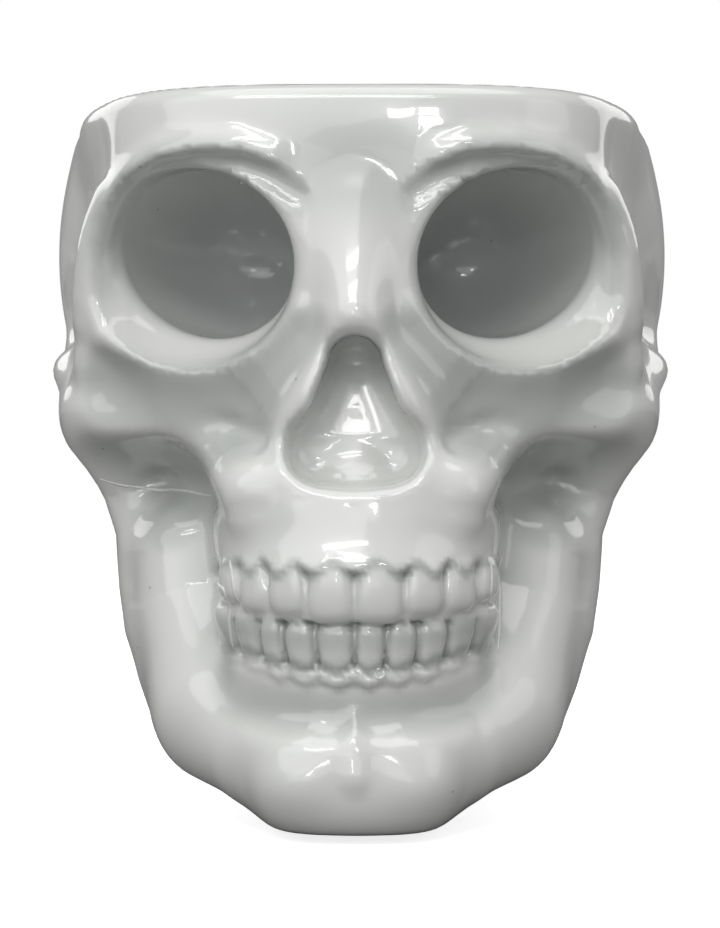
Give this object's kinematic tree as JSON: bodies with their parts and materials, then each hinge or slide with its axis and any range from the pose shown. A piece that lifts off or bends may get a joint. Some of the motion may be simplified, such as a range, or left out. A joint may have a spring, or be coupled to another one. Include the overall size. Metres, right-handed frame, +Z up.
{
  "type": "skull planter pot",
  "caption": "Hollow glazed ceramic human skull with its top cut off level, open as a planter or sweet bowl, with a drain hole, a lift-out stopper and round foot pads.",
  "frame": {"origin": "on the table under the middle of the pot, at the bottom of the foot pads", "axes": "+Z up out of the open top, the face looks along -Y, +X is to the viewer's right as the viewer faces it"},
  "size_m": [0.1398, 0.1634, 0.1499],
  "materials": {
    "glazed_ceramic": "glossy white glaze",
    "stopper_rubber": "matte soft rubber",
    "pad_felt": "pressed felt"
  },
  "bodies": {
    "pot": {"skull_shell": "glazed_ceramic", "foot_pad_front_left": "pad_felt", "foot_pad_front_right": "pad_felt", "foot_pad_rear_left": "pad_felt", "foot_pad_rear_right": "pad_felt"},
    "stopper": {"drain_stopper": "stopper_rubber"}
  },
  "joints": [
    {"name": "stopper_lift", "type": "slide", "parent": "pot", "child": "stopper", "axis": [0, 0, 1], "range_m": [0, 0.16]}
  ]
}
